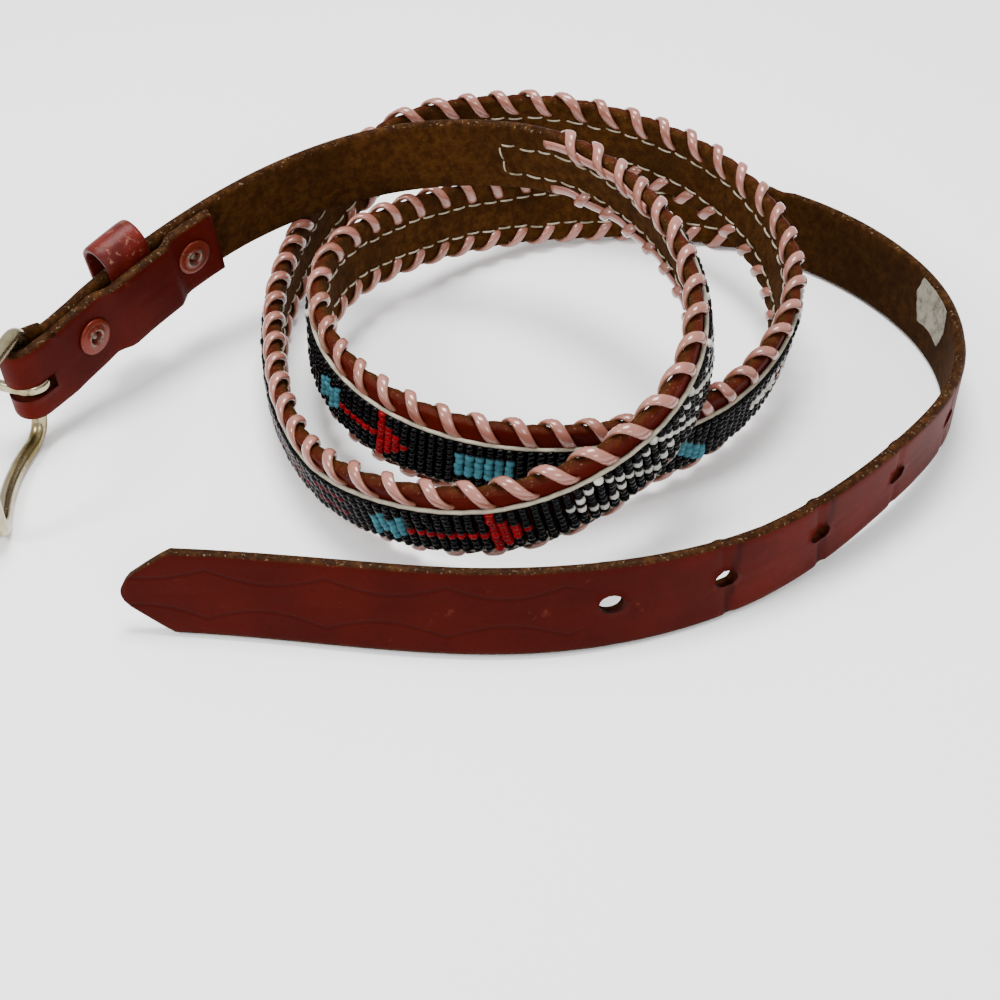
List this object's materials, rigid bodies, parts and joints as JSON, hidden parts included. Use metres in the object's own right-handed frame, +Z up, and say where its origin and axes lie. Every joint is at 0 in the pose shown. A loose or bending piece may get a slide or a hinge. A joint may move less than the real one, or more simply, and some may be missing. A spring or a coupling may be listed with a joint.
{
  "type": "beaded belt",
  "caption": "Narrow leather belt with a woven seed-bead strip, whip-laced edges, wire buckle and keeper loop, coiled on its edge.",
  "frame": {"origin": "middle of the bounding box in plan, on the surface that the belt stands on", "axes": "+X from the buckle toward the coil's far side, +Z up across the strap's width"},
  "size_m": [0.2546, 0.1668, 0.0532],
  "materials": {
    "strap": "worn red-brown grain side, dark brown flesh side",
    "beadwork_band": "glossy black seed beads with red, turquoise and white motifs",
    "buckle_frame": "worn pale plating",
    "buckle_prong": "worn pale plating",
    "keeper_loop": "worn red-brown",
    "snap_rivets": "orange-red paint worn to grey metal"
  },
  "bodies": {
    "belt": {"strap": "strap", "beadwork_band": "beadwork_band", "keeper_loop": "keeper_loop", "snap_rivet_1": "snap_rivets", "snap_rivet_2": "snap_rivets"},
    "frame": {"buckle_frame": "buckle_frame"},
    "prong": {"buckle_prong": "buckle_prong"}
  },
  "joints": [
    {"name": "frame_swing", "type": "hinge", "parent": "belt", "child": "frame", "pos_m": [-0.08718, -0.0133, 0.0168], "axis": [0, 0, 1], "range_deg": [-30, 80]},
    {"name": "prong_swing", "type": "hinge", "parent": "belt", "child": "prong", "pos_m": [-0.08718, -0.0133, 0.0164], "axis": [0, 0, 1], "range_deg": [-60, 60]}
  ]
}
